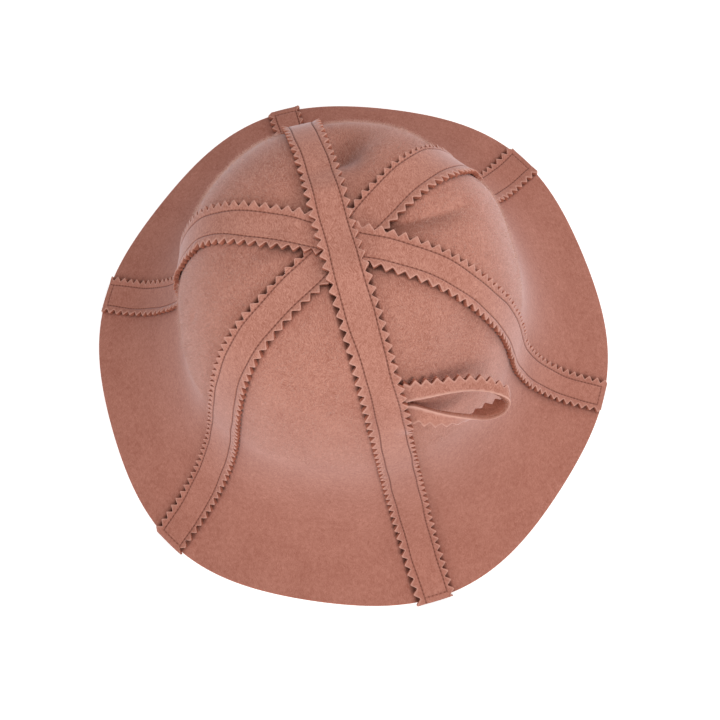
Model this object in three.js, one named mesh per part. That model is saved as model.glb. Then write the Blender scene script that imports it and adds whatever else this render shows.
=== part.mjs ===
// A bell-shaped wool-felt hat for the sauna: six gores sewn edge to edge, three pinked felt strips
// that cover the seams from rim to rim, and a hanging loop tucked under one strip.
// Millimetres, +Z up. The origin is on the surface the hat rests on, under the crown's tip.
// The hat's front is -Y, and directions are degrees anticlockwise from +X.

import * as THREE from 'three';

// ---- Driving dimensions ----

const FELT = 2.8;            // thickness of the gores' felt
const STRIP_FELT = 2.6;      // thickness of the strips' and the loop's felt
const GAP = 0.35;            // clearance kept between two pieces that touch

const RIM_RADIUS = 160;      // mean radius of the brim's edge
const RIM_EDGE = 1.5;        // height of the felt's upper corner at the rim, where it is pressed flat
const FOOT_WIDTH = 4;        // width of the pressed band that the hat rests on
const CROWN_HEIGHT = 171;    // outer face of the gores at the tip
const WALL_RADIUS = 98;      // narrowest part of the wall, above the flare
const WALL_HEIGHT = 75.5;    // height of that narrowest part
const WALL_LEAN = 10;        // lean of the wall from upright, degrees
const BRIM_SLOPE = 20;       // slope of the brim at the rim, degrees

// How far each end of the two profile curves holds its direction.
const TIP_PULL = 29.5;
const SHOULDER_PULL = 113;
const FLARE_PULL = 66.6;
const BRIM_PULL = 10.2;

// The rim is slightly oval, with a low lobe near each strip's end. Each wave has its number round the
// rim, its height as a share of the radius, and the direction of one peak.
const RIM_WAVES = [
  { count: 2, amount: 0.024, peak: 74.8 },
  { count: 3, amount: 0.0027, peak: -53.1 },
  { count: 4, amount: 0.0037, peak: 26.9 },
  { count: 6, amount: 0.0152, peak: 46.3 },
];

const STRIP_WIDTH = 22;      // tip to tip of the teeth
const TOOTH_PITCH = 5.45;
const LOOP_PITCH = 5.8;
const TOOTH_DEPTH = 2.6;
const SEAT = 0.6;            // lift of a strip's underside over the gores

// A strip rises over the strips it crosses, and comes down again between these distances from the tip.
const CROSSING = 28;
const CROSSING_RAMP = 34;

// The hanging loop's ends lie under the long strip's edge, side by side.
const LOOP_TUCK = 8.2;       // distance of the loop's ends from the long strip's centre line
const LOOP_FREE = 12.5;      // distance where its legs start to leave the crown
const TUCK_RISE = 4.3;       // lift of the strip's edge over the loop's ends
const TUCK_RAMP = 14;

const FELT_COLOUR = 0xb87b6a;
const STRIP_COLOUR = 0xbd8070;
const FELT_ROUGHNESS = 0.95;

// The strips. Level counts the strips underneath at the tip. Shift moves the strip sideways at the tip,
// and each bow is the sideways bend half-way down that side, in mm to the left of its heading.
// The tail is the direction of the strip's other end, within a few degrees of the heading's opposite.
// headEnd and tailEnd are how far the two ends stand out past the rim (negative: stop short of it).
const STRIPS = [
  { name: 'strip_long', heading: -78.0, tail: 100.2, level: 2, shift: -1.3, headBow: -2.3, tailBow: 0.9,
    headEnd: 1.3, tailEnd: -0.5 },
  { name: 'strip_cross', heading: -19.8, tail: 163.3, level: 1, shift: -2.2, headBow: -5.1, tailBow: -3.0,
    headEnd: -1.0, tailEnd: -1.6 },
  { name: 'strip_under', heading: 41.8, tail: 223.6, level: 0, shift: -6.1, headBow: -1.9, tailBow: 4.4,
    headEnd: -0.9, tailEnd: 0.3 },
];

// The gores, each between two seams, named by the strip and the end of it that covers the seam.
const GORES = [
  { name: 'gore_front_right', from: ['strip_long', 'head'], to: ['strip_cross', 'head'] },
  { name: 'gore_right', from: ['strip_cross', 'head'], to: ['strip_under', 'head'] },
  { name: 'gore_back_right', from: ['strip_under', 'head'], to: ['strip_long', 'tail'] },
  { name: 'gore_back_left', from: ['strip_long', 'tail'], to: ['strip_cross', 'tail'] },
  { name: 'gore_left', from: ['strip_cross', 'tail'], to: ['strip_under', 'tail'] },
  { name: 'gore_front_left', from: ['strip_under', 'tail'], to: ['strip_long', 'head'] },
];

// Soft dents pressed into the crown: where each one is, how deep, how far it reaches down the crown
// (length) and around it (breadth), and the share of its depth that the stiffer strips follow.
// A negative depth is a bulge.
const DENTS = [
  { at: 82, down: 57, depth: 13.0, length: 20, breadth: 14, followed: 0.4 },   // back, beside the long strip
  { at: 8.5, down: 39, depth: 6.5, length: 24, breadth: 5.5, followed: 0 },    // between cross and under strips
  { at: -46, down: 86, depth: 3.0, length: 16, breadth: 18, followed: 0.5 },   // behind the hanging loop
  { at: -175, down: 38, depth: 1.5, length: 20, breadth: 7, followed: 0 },     // left, under the cross strip
  { at: 183, down: 102, depth: 3.0, length: 40, breadth: 32, followed: 1 },    // left wall
  { at: 42, down: 95, depth: 2.0, length: 30, breadth: 18, followed: 1 },      // right shoulder
  { at: 27, down: 118, depth: -2.8, length: 40, breadth: 22, followed: 1 },    // right wall, swollen
];

// Heights down the profile where a gore has a row of corners, as shares of its run.
const GORE_ROWS = [0.008, 0.06, 0.11, 0.155, 0.2, 0.245, 0.29, 0.34, 0.4, 0.47, 0.54, 0.61, 0.67, 0.72, 0.77,
  0.82, 0.865, 0.91, 0.95];
const GORE_COLUMNS = 8;

// The loop's free part, as places on its straight edge and its pinked edge.
const LOOP_STATIONS = [
  { straight: [34.0, -76.4, 135.5], pinked: [34.2, -68.8, 143.5] },
  { straight: [45.6, -75.1, 133.8], pinked: [45.7, -67.9, 140.3] },
  { straight: [57.3, -74.0, 130.6], pinked: [57.2, -67.5, 137.0] },
  { straight: [67.7, -75.8, 128.4], pinked: [67.6, -68.7, 132.2] },
  { straight: [74.7, -81.2, 127.2], pinked: [75.9, -73.1, 122.5] },
  { straight: [72.5, -84.8, 125.2], pinked: [71.4, -76.6, 118.8] },
  { straight: [64.5, -87.5, 124.4], pinked: [62.0, -79.4, 117.6] },
  { straight: [53.1, -85.6, 126.2], pinked: [52.4, -85.6, 116.4] },
  { straight: [41.9, -82.9, 127.8], pinked: [41.2, -87.7, 118.4] },
  { straight: [32.8, -80.0, 129.6], pinked: [31.2, -86.6, 120.4] },
];
// Where the two legs lie on the crown: distances from the tip down the long strip.
const LOOP_ROOT = { upperPinked: 83.5, upperStraight: 95.4, lowerStraight: 97.2, lowerPinked: 109.5 };

// ---- Small tools ----

const radians = THREE.MathUtils.degToRad;
const smoothstep = THREE.MathUtils.smoothstep;
const clamp = THREE.MathUtils.clamp;
const lerp = THREE.MathUtils.lerp;

// ---- The bell's profile ----

// Two curves in the (radius, height) plane: the crown with its wall, then the flare with the brim.
function makeProfile() {
  const tip = new THREE.Vector2(0, CROWN_HEIGHT);
  const wall = new THREE.Vector2(WALL_RADIUS, WALL_HEIGHT);
  const rim = new THREE.Vector2(RIM_RADIUS, RIM_EDGE);
  const wallDown = new THREE.Vector2(Math.sin(radians(WALL_LEAN)), -Math.cos(radians(WALL_LEAN)));
  const brimOut = new THREE.Vector2(Math.cos(radians(BRIM_SLOPE)), -Math.sin(radians(BRIM_SLOPE)));
  const crown = new THREE.CubicBezierCurve(
    tip,
    tip.clone().add(new THREE.Vector2(TIP_PULL, 0)),
    wall.clone().addScaledVector(wallDown, -SHOULDER_PULL),
    wall,
  );
  const flare = new THREE.CubicBezierCurve(
    wall,
    wall.clone().addScaledVector(wallDown, FLARE_PULL),
    rim.clone().addScaledVector(brimOut, -BRIM_PULL),
    rim,
  );
  const path = new THREE.CurvePath();
  path.add(crown);
  path.add(flare);
  return path;
}

const PROFILE = makeProfile();
const RUN = PROFILE.getLength();     // from the tip to the rim, along the felt
const PROFILE_STEPS = 400;
const PROFILE_POINTS = PROFILE.getSpacedPoints(PROFILE_STEPS);

// Radius, height and outward normal of the bell at a distance down from the tip.
function profileAt(run) {
  const place = clamp(run / RUN, 0, 1) * PROFILE_STEPS;
  const index = Math.min(Math.floor(place), PROFILE_STEPS - 1);
  const a = PROFILE_POINTS[index];
  const b = PROFILE_POINTS[index + 1];
  const before = PROFILE_POINTS[Math.max(index - 1, 0)];
  const after = PROFILE_POINTS[Math.min(index + 2, PROFILE_STEPS)];
  const along = new THREE.Vector2().subVectors(after, before).normalize();
  const point = new THREE.Vector2().lerpVectors(a, b, place - index);
  return { radius: point.x, height: point.y, outward: -along.y, upward: along.x, along };
}

// ---- The felt surface ----

function rimScale(direction, run) {
  let swell = 0;
  for (const { count, amount, peak } of RIM_WAVES) {
    swell += amount * Math.cos(count * (direction - radians(peak)));
  }
  return 1 + swell * (run / RUN) ** 3;
}

function dentDepth(direction, run, onStrip) {
  const { radius } = profileAt(run);
  let depth = 0;
  for (const dent of DENTS) {
    const share = onStrip ? dent.followed : 1;
    const centre = profileAt(dent.down);
    const turn = direction - radians(dent.at);
    const around = Math.atan2(Math.sin(turn), Math.cos(turn)) * Math.min(radius, centre.radius);
    const down = run - dent.down;
    depth += share * dent.depth * Math.exp(-((down / dent.length) ** 2) - (around / dent.breadth) ** 2);
  }
  return depth;
}

// A point on or over the outer face of the gores.
function feltPoint(direction, run, lift, onStrip = false) {
  const { radius, height, outward, upward } = profileAt(run);
  const offset = lift - dentDepth(direction, run, onStrip);
  const reach = radius * rimScale(direction, run) + outward * offset;
  return new THREE.Vector3(reach * Math.cos(direction), reach * Math.sin(direction), height + upward * offset);
}

// ---- Closed meshes from grids ----

// Joins two grids of the same size, one over the other, into one closed skin.
function slabGeometry(outer, inner) {
  const rows = outer.length;
  const columns = outer[0].length;
  const points = [...outer.flat(), ...inner.flat()];
  const top = (row, column) => row * columns + column;
  const under = (row, column) => rows * columns + top(row, column);
  const faces = [];
  const quad = (a, b, c, d) => faces.push(a, b, c, a, c, d);
  for (let row = 0; row < rows - 1; row += 1) {
    for (let column = 0; column < columns - 1; column += 1) {
      quad(top(row, column), top(row + 1, column), top(row + 1, column + 1), top(row, column + 1));
      quad(under(row, column), under(row, column + 1), under(row + 1, column + 1), under(row + 1, column));
    }
    quad(top(row, 0), under(row, 0), under(row + 1, 0), top(row + 1, 0));
    const last = columns - 1;
    quad(top(row, last), top(row + 1, last), under(row + 1, last), under(row, last));
  }
  for (let column = 0; column < columns - 1; column += 1) {
    quad(top(0, column), top(0, column + 1), under(0, column + 1), under(0, column));
    const end = rows - 1;
    quad(top(end, column), under(end, column), under(end, column + 1), top(end, column + 1));
  }
  const geometry = new THREE.BufferGeometry();
  geometry.setAttribute('position', new THREE.Float32BufferAttribute(points.flatMap((p) => p.toArray()), 3));
  geometry.setIndex(faces);
  geometry.computeVertexNormals();
  return geometry;
}

function makePiece(name, geometry, colour, roughness) {
  const material = new THREE.MeshStandardMaterial({ color: colour, roughness, metalness: 0 });
  const mesh = new THREE.Mesh(geometry, material);
  mesh.name = name;
  return mesh;
}

// ---- Gores ----

// Direction of the seam under one end of a strip, at a distance down from the tip.
function seamDirection([stripName, end], run) {
  const strip = STRIPS.find(({ name }) => name === stripName);
  const share = run / RUN;
  const bend = 4 * share * (1 - share);
  const turn = (bow) => Math.asin(clamp((bow * bend) / profileAt(run).radius, -1, 1));
  return end === 'head'
    ? radians(strip.heading) + turn(strip.headBow)
    : radians(strip.tail) - turn(strip.tailBow);
}

function goreDirections(gore, run) {
  const halfGap = Math.asin(GAP / 2 / profileAt(run).radius);
  const start = seamDirection(gore.from, run) + halfGap;
  let end = seamDirection(gore.to, run) - halfGap;
  if (end < start) end += 2 * Math.PI;
  return Array.from({ length: GORE_COLUMNS + 1 }, (_, column) => lerp(start, end, column / GORE_COLUMNS));
}

function makeGore(gore) {
  const footRun = RUN - FOOT_WIDTH;
  const runs = [...GORE_ROWS.map((share) => share * RUN), footRun, RUN];
  const outer = runs.map((run) => goreDirections(gore, run).map((direction) => feltPoint(direction, run, 0)));
  const inner = runs.map((run, row) => goreDirections(gore, run).map((direction, column) => {
    // The last two rows of the underside are pressed flat onto the surface that the hat rests on.
    const pressed = run >= footRun;
    const point = feltPoint(direction, run, pressed ? 0 : -FELT);
    if (pressed) point.z = 0;
    return point;
  }));
  return makePiece(gore.name, slabGeometry(outer, inner), FELT_COLOUR, FELT_ROUGHNESS);
}

// ---- Strips ----

const bump = (distance, flat, ramp) => 1 - smoothstep(Math.abs(distance), flat, flat + ramp);

// Lift of a strip's underside over the gores, in the middle of its width or at its edge.
function stripLift(strip, along, lateral) {
  const over = strip.level * (STRIP_FELT + SEAT) * bump(along, CROSSING, CROSSING_RAMP);
  const tuckMiddle = (LOOP_ROOT.upperPinked + LOOP_ROOT.lowerPinked) / 2;
  const tuckHalf = (LOOP_ROOT.lowerPinked - LOOP_ROOT.upperPinked) / 2 + TOOTH_PITCH / 2;
  const tucked = strip.name === 'strip_long'
    ? TUCK_RISE * bump(along - tuckMiddle, tuckHalf, TUCK_RAMP) * clamp(lateral / (STRIP_WIDTH / 2), 0, 1)
    : 0;
  return SEAT + over + tucked;
}

// A point on a strip: along is measured from the tip, positive towards its heading,
// and lateral across the strip, positive to the left of the heading.
function stripPoint(strip, along, lateral, lift) {
  const share = Math.abs(along) / RUN;
  const bow = along > 0 ? strip.headBow : strip.tailBow;
  const aside = lateral + strip.shift * (1 - share) ** 2 + bow * 4 * share * (1 - share);
  const distance = Math.abs(along);
  const { radius, along: slope } = profileAt(distance);
  const spread = distance > 0 ? Math.min(1, (slope.x * distance) / radius) : 1;
  const run = Math.hypot(distance, aside * Math.sqrt(spread));
  const straightOn = radians(lerp(strip.tail - 180, strip.heading, smoothstep(along, -CROSSING, CROSSING)));
  const turn = Math.asin(clamp(aside / profileAt(run).radius, -1, 1));
  const direction = along >= 0 ? straightOn + turn : straightOn + Math.PI - turn;
  const point = feltPoint(direction, run, lift, true);
  // Past the rim the strip carries straight on.
  const beyond = run - RUN;
  if (beyond > 0) {
    point.x += beyond * slope.x * Math.cos(direction);
    point.y += beyond * slope.x * Math.sin(direction);
    point.z += beyond * slope.y;
  }
  return point;
}

function makeStrip(strip) {
  const start = -RUN - strip.tailEnd;
  const stop = RUN + strip.headEnd;
  const teeth = Math.round((stop - start) / TOOTH_PITCH);
  const steps = 2 * teeth;
  const rows = Array.from({ length: steps + 1 }, (_, row) => ({
    along: lerp(start, stop, row / steps),
    halfWidth: STRIP_WIDTH / 2 - (row % 2 === 0 ? TOOTH_DEPTH : 0),
  }));
  const grid = (extra) => rows.map(({ along, halfWidth }) => [-halfWidth, 0, halfWidth].map((lateral) => (
    stripPoint(strip, along, lateral, stripLift(strip, along, lateral) + extra))));
  return makePiece(strip.name, slabGeometry(grid(STRIP_FELT), grid(0)), STRIP_COLOUR, FELT_ROUGHNESS);
}

// ---- Hanging loop ----

// The legs' places on the crown, under the long strip's edge and just outside it.
function loopRoot(straightAlong, pinkedAlong, lateral) {
  const strip = STRIPS.find(({ name }) => name === 'strip_long');
  const lift = SEAT + STRIP_FELT / 2;
  return {
    straight: stripPoint(strip, straightAlong, lateral, lift).toArray(),
    pinked: stripPoint(strip, pinkedAlong, lateral, lift).toArray(),
  };
}

function makeLoop() {
  const upper = (lateral) => loopRoot(LOOP_ROOT.upperStraight, LOOP_ROOT.upperPinked, lateral);
  const lower = (lateral) => loopRoot(LOOP_ROOT.lowerStraight, LOOP_ROOT.lowerPinked, lateral);
  const stations = [upper(LOOP_TUCK), upper(LOOP_FREE), ...LOOP_STATIONS, lower(LOOP_FREE), lower(LOOP_TUCK)];
  const edge = (side) => new THREE.CatmullRomCurve3(stations.map((station) => new THREE.Vector3(...station[side])));
  const straight = edge('straight');
  const pinked = edge('pinked');
  const teeth = Math.round(pinked.getLength() / LOOP_PITCH);
  const steps = 2 * teeth;
  const face = (side) => Array.from({ length: steps + 1 }, (_, row) => {
    const share = row / steps;
    const a = straight.getPoint(share);
    const b = pinked.getPoint(share);
    const across = new THREE.Vector3().subVectors(b, a).normalize();
    const forward = straight.getTangent(share).add(pinked.getTangent(share)).normalize();
    const normal = new THREE.Vector3().crossVectors(forward, across).normalize();
    const notch = row % 2 === 0 ? TOOTH_DEPTH : 0;
    const edgePoint = b.clone().addScaledVector(across, -notch);
    return [a, edgePoint].map((point) => point.clone().addScaledVector(normal, (side * STRIP_FELT) / 2));
  });
  return makePiece('hanging_loop', slabGeometry(face(1), face(-1)), STRIP_COLOUR, FELT_ROUGHNESS);
}

// ---- The hat ----

const hat = new THREE.Group();
hat.add(...GORES.map(makeGore));
hat.add(...STRIPS.map(makeStrip));
hat.add(makeLoop());

export default hat;
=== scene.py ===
from functools import partialmethod
from math import cos, pi, radians, sin

import bmesh
import bpy
import numpy as np
from mathutils import Matrix, Vector


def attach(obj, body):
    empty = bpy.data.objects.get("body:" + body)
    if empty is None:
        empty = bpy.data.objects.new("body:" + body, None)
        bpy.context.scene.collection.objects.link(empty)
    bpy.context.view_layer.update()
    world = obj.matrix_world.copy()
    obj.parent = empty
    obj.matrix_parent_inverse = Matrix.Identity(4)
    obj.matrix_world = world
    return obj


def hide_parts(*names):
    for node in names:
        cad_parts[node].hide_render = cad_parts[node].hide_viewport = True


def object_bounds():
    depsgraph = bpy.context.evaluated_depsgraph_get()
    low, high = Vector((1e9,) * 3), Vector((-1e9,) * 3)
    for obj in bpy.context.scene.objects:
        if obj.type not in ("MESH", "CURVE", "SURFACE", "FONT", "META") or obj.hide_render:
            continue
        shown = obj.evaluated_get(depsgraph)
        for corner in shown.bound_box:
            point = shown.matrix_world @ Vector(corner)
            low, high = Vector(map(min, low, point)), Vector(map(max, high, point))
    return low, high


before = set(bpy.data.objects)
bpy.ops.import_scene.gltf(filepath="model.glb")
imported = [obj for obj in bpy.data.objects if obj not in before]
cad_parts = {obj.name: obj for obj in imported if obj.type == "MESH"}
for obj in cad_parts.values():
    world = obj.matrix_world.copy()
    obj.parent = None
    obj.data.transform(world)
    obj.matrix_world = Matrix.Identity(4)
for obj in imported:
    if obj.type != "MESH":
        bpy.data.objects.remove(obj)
cad_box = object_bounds()

# ---- Camera ----
# It looks down on the crown from in front of the hat, steeply, from an arm's length away. It is turned a
# little about its own line of sight.

MM = 0.001
CAMERA_AIM = Vector((3.7, -13.5, 1.5)) * MM
CAMERA_DISTANCE = 716.9 * MM
CAMERA_ELEVATION = radians(73.2)
CAMERA_ROLL = radians(-5.87)
CAMERA_LENS = 58.16  # this and the sensor's width are in mm, as Blender takes them
CAMERA_SENSOR = 36


def new_object(name, data):
    """An object with its data, linked to the scene."""
    made = bpy.data.objects.new(name, data)
    bpy.context.collection.objects.link(made)
    return made


camera = new_object("camera", bpy.data.cameras.new("camera"))
bpy.context.scene.camera = camera
camera.data.lens = CAMERA_LENS
camera.data.sensor_width = CAMERA_SENSOR
lean_back = Matrix.Rotation(pi / 2 - CAMERA_ELEVATION, 4, "X")
from_aim = lean_back @ Vector((0, 0, CAMERA_DISTANCE))
roll = Matrix.Rotation(CAMERA_ROLL, 4, "Z")
camera.matrix_world = Matrix.Translation(CAMERA_AIM + from_aim) @ lean_back @ roll

# ---- Studio ----
# A white paper floor in a white room. Three soft lamps of much the same strength stand low round the hat,
# in front, at its left and at its right, and a weaker one hangs straight above it.

WHITE = (1, 1, 1, 1)
ROOM_LIGHT = 0.23

# Angles are in degrees, and distances in metres from the hat's middle.
LAMPS = [
    {"name": "front_lamp", "azimuth": -62, "elevation": 30, "distance": 0.75, "size": 0.4, "watts": 2.22},
    {"name": "left_lamp", "azimuth": -150, "elevation": 25, "distance": 0.75, "size": 0.5, "watts": 2.15},
    {"name": "right_lamp", "azimuth": 30, "elevation": 25, "distance": 0.75, "size": 0.5, "watts": 2.42},
    {"name": "top_lamp", "azimuth": 0, "elevation": 90, "distance": 0.55, "size": 0.35, "watts": 1.08},
]
FLOOR_SIZE = 8  # m
FLOOR_SQUARES = 8
PAPER = {  # it lets some light through from below
    "dark": (0.93, 0.93, 0.93, 1), "light": (0.95, 0.95, 0.95, 1), "grain": 900.0,
    "finish": {"Roughness": 0.9, "Emission Color": WHITE, "Emission Strength": 0.45}}


class Wire:
    """One output of a shader node. Python's operators on wires add Math nodes."""

    def __init__(self, tree, socket):
        self.tree = tree
        self.socket = socket

    def node(self, kind, settings=(), sockets=(), output=0):
        """Adds a node to the same tree: its settings first, then its sockets' values or wires."""
        made = self.tree.nodes.new(kind)
        for name, value in dict(settings).items():
            setattr(made, name, value)
        for name, value in dict(sockets).items():
            if isinstance(value, Wire):
                self.tree.links.new(value.socket, made.inputs[name])
            else:
                made.inputs[name].default_value = value
        return Wire(self.tree, made.outputs[output])

    def math(self, operation, *values):
        """A Math node, with this wire as its first value."""
        return self.node("ShaderNodeMath", {"operation": operation}, dict(enumerate((self, *values))))

    __add__ = __radd__ = partialmethod(math, "ADD")
    __mul__ = __rmul__ = partialmethod(math, "MULTIPLY")
    __sub__ = partialmethod(math, "SUBTRACT")
    __pow__ = partialmethod(math, "POWER")

    def __rsub__(self, other):
        return self.node("ShaderNodeMath", {"operation": "SUBTRACT"}, {0: other, 1: self})

    def noise(self, scale, output=0, **settings):
        """Noise over the places that this wire carries."""
        return self.node("ShaderNodeTexNoise", (), {"Vector": self, "Scale": scale, **settings}, output)

    def mixed(self, low, high, blend="MIX"):
        """The colour low where this wire is 0, and high where it is 1."""
        settings = {"data_type": "RGBA", "blend_type": blend}
        return self.node("ShaderNodeMix", settings, {0: self, 6: low, 7: high}, output=2)


def start_material(name):
    """A new material with its shader, and a wire that carries the piece's own coordinates."""
    material = bpy.data.materials.new(name)
    material.use_nodes = True
    tree = material.node_tree
    place = Wire(tree, None).node("ShaderNodeTexCoord", output="Object")
    return material, tree.nodes["Principled BSDF"], place


def grained_material(name, dark, light, grain, finish):
    """A material of one colour that varies a little with a fine grain."""
    material, shader, place = start_material(name)
    colour = place.noise(grain).mixed(dark, light)
    material.node_tree.links.new(colour.socket, shader.inputs["Base Color"])
    for socket, value in finish.items():
        shader.inputs[socket].default_value = value
    return material


scene = bpy.context.scene
scene.view_settings.view_transform = "Standard"
scene.world = bpy.data.worlds.new("white_room")
scene.world.use_nodes = True
room = scene.world.node_tree.nodes["Background"]
room.inputs["Color"].default_value = WHITE
room.inputs["Strength"].default_value = ROOM_LIGHT

hat_middle = (Vector(cad_box[0]) + Vector(cad_box[1])) / 2
for setting in LAMPS:
    lamp = new_object(setting["name"], bpy.data.lights.new(setting["name"], "AREA"))
    lamp.data.energy = setting["watts"]
    lamp.data.size = setting["size"]
    azimuth = radians(setting["azimuth"])
    elevation = radians(setting["elevation"])
    towards = Vector((cos(azimuth) * cos(elevation), sin(azimuth) * cos(elevation), sin(elevation)))
    lamp.location = hat_middle + setting["distance"] * towards
    lamp.rotation_euler = towards.to_track_quat("Z", "Y").to_euler()

floor_mesh = bpy.data.meshes.new("floor")
floor_grid = bmesh.new()
bmesh.ops.create_grid(
    floor_grid, x_segments=FLOOR_SQUARES, y_segments=FLOOR_SQUARES, size=FLOOR_SIZE / 2)
floor_grid.to_mesh(floor_mesh)
floor_grid.free()
floor = new_object("floor", floor_mesh)
floor_mesh.materials.append(grained_material("white_paper", **PAPER))

# ---- Gores ----
# Six gores of thick wool felt make the bell, edge to edge under the strips. The felt was steamed over
# a block, so it is smooth, with a few soft dents and one fold. The rim is cut, and rests on a flat foot.

FELT = 2.8 * MM  # its thickness
SEAM_GAP = 0.35 * MM
RIM_RADIUS = 160 * MM
RIM_EDGE = 1.5 * MM  # height of the outer face there
CROWN_HEIGHT = 171 * MM
WALL_RADIUS = 98 * MM
WALL_HEIGHT = 75.5 * MM  # where the crown's curve passes into the flare's
WALL_LEAN = radians(10)
BRIM_SLOPE = radians(20)
TIP_PULL = 29.5 * MM  # the pulls say how long the two curves keep the directions of their ends
SHOULDER_PULL = 113 * MM
FLARE_PULL = 66.6 * MM
BRIM_PULL = 10.2 * MM
PROFILE_STEPS = 600  # along each curve
SEAM_SINK = {"depth": 1.9 * MM, "breadth": 15 * MM}  # the stitches draw the seams in
SINK_FADE = (5 * MM, 30 * MM)  # distances from the rim where that sets in

# The rim's waves: their number round the rim, height as a share of the radius, and where one peaks.
RIM_WAVES = [
    {"count": 2, "amount": 0.024, "peak": 74.8},
    {"count": 3, "amount": 0.0027, "peak": -53.1},
    {"count": 4, "amount": 0.0037, "peak": 26.9},
    {"count": 6, "amount": 0.0152, "peak": 46.3},
]
WAVES_GROW = 3  # power of the distance from the tip with which they set in

# at: direction of the dent in degrees; down: its distance from the tip; length, breadth: down the felt and
# round it; followed: share that the strips follow. These are in mm, and a negative depth is a bulge.
DENTS = [
    {"at": 84, "down": 57, "depth": 15.5, "length": 20, "breadth": 14, "followed": 0.35},
    {"at": -46, "down": 86, "depth": 3.0, "length": 16, "breadth": 18, "followed": 0.5},
    {"at": -175, "down": 38, "depth": 1.5, "length": 20, "breadth": 7, "followed": 0.0},
    {"at": 183, "down": 102, "depth": 2.4, "length": 40, "breadth": 32, "followed": 1.0},
    {"at": 174, "down": 173, "depth": 5.5, "length": 28, "breadth": 45, "followed": 1.0},
    {"at": 42, "down": 95, "depth": 2.0, "length": 30, "breadth": 18, "followed": 1.0},
    {"at": 27, "down": 118, "depth": -2.8, "length": 40, "breadth": 22, "followed": 1.0},
    {"at": 84, "down": 98, "depth": 1.0, "length": 30, "breadth": 24, "followed": 1.0},
    {"at": 193.8, "down": 103, "depth": 0.8, "length": 6, "breadth": 2, "followed": 0.0},
]

# A fold where the felt buckles between two strips, sharp along its bottom: the directions that it passes
# at distances down from the tip, in mm.
FOLD_LINE = {
    "down": [22, 31, 40, 55, 74],
    "direction": [0.5, 3.5, 5.2, 8.2, 13.0]}
FOLD_DEPTH = 4.0 * MM
FOLD_SHADE = 0.38
FOLD_SIDES = {"front": 8.0 * MM, "back": 5.5 * MM}  # how far it reaches to either side of its bottom
FOLD_SHADED = {"front": 8.0 * MM, "back": 1.0 * MM}  # and how far the shade in it reaches
FOLD_STARTS = (10 * MM, 25 * MM)
FOLD_ENDS = (45 * MM, 85 * MM)

# heading, tail: directions of a strip's two ends in degrees; level: strips underneath at the tip; shift:
# sideways place at the tip; bows: sideways bend half-way down to each end; ends: how far they pass the rim.
# The last three are in mm, and sideways is to the left of the heading.
STRIPS = {
    "strip_long": {
        "heading": -78.0, "tail": 100.2, "level": 2, "shift": -1.3,
        "head_bow": -2.3, "tail_bow": 0.9, "head_end": 1.3, "tail_end": -0.5},
    "strip_cross": {
        "heading": -19.8, "tail": 163.3, "level": 1, "shift": -2.2,
        "head_bow": -5.1, "tail_bow": -3.0, "head_end": -1.0, "tail_end": -1.6},
    "strip_under": {
        "heading": 41.8, "tail": 223.6, "level": 0, "shift": -6.1,
        "head_bow": -1.9, "tail_bow": 4.4, "head_end": -0.9, "tail_end": 0.3},
}

# Each side of a strip as it was cut and sewn, at stations along it from the tail's rim to the heading's:
# how far the stitches and the middle of the teeth lie from the strip's middle, in mm, and the running
# number of the tooth there.
STATIONS = np.array([-256, -192, -128, -80, -40, 0, 40, 80, 128, 192, 256]) * MM
SIDES = {
    ("strip_long", "left"): {
        "stitches": [6.5, 6.5, 7.0, 4.5, 6.0, 6.5, 6.0, 5.5, 7.0, 8.0, 6.0],
        "teeth": [8.5, 8.0, 8.5, 8.0, 9.0, 9.0, 8.5, 8.5, 9.0, 10.5, 9.0],
        "count": [-47.4, -35.6, -23.8, -14.9, -7.8, -0.9, 6.3, 13.5, 21.9, 33.9, 46.6]},
    ("strip_long", "right"): {
        "stitches": [6.5, 6.5, 6.5, 7.5, 6.0, 6.5, 7.5, 6.0, 6.5, 6.0, 7.0],
        "teeth": [9.5, 9.5, 9.0, 9.5, 9.0, 10.0, 10.5, 10.5, 10.0, 9.5, 11.0],
        "count": [-55.7, -44.0, -32.1, -23.6, -15.6, -8.2, -1.0, 5.9, 13.6, 25.9, 37.1]},
    ("strip_cross", "left"): {
        "stitches": [7.5, 6.0, 6.5, 8.5, 7.0, 3.0, 6.0, 5.0, 7.5, 6.5, 6.0],
        "teeth": [11.5, 9.5, 9.5, 12.5, 10.5, 7.5, 9.0, 8.5, 10.5, 9.5, 9.5],
        "count": [-58.4, -46.4, -34.5, -25.4, -18.4, -11.4, -4.4, 3.1, 12.1, 24.1, 35.7]},
    ("strip_cross", "right"): {
        "stitches": [6.5, 7.5, 7.0, 2.5, 6.0, 9.5, 5.0, 5.5, 5.5, 5.0, 5.5],
        "teeth": [10.5, 10.5, 10.0, 6.5, 9.5, 11.5, 9.5, 9.0, 8.0, 9.0, 9.0],
        "count": [-56.6, -45.2, -33.3, -24.4, -17.7, -10.6, -3.7, 3.2, 12.1, 24.1, 35.7]},
    ("strip_under", "left"): {
        "stitches": [6.5, 8.5, 7.0, 8.0, 7.0, 7.0, 8.5, 8.0, 6.5, 8.0, 7.5],
        "teeth": [10.0, 10.5, 9.5, 11.0, 9.0, 9.5, 10.5, 9.5, 9.5, 10.5, 11.0],
        "count": [-51.4, -38.6, -27.3, -18.5, -11.6, -4.9, 2.2, 9.7, 18.5, 30.4, 42.0]},
    ("strip_under", "right"): {
        "stitches": [7.0, 5.5, 6.5, 4.0, 6.0, 6.5, 6.5, 7.0, 6.5, 5.0, 6.5],
        "teeth": [9.0, 9.5, 10.0, 7.5, 8.5, 10.5, 10.0, 11.5, 9.5, 10.0, 11.5],
        "count": [-52.0, -39.7, -27.2, -18.1, -11.8, -4.9, 2.0, 9.3, 18.1, 29.8, 41.6]},
}

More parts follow.
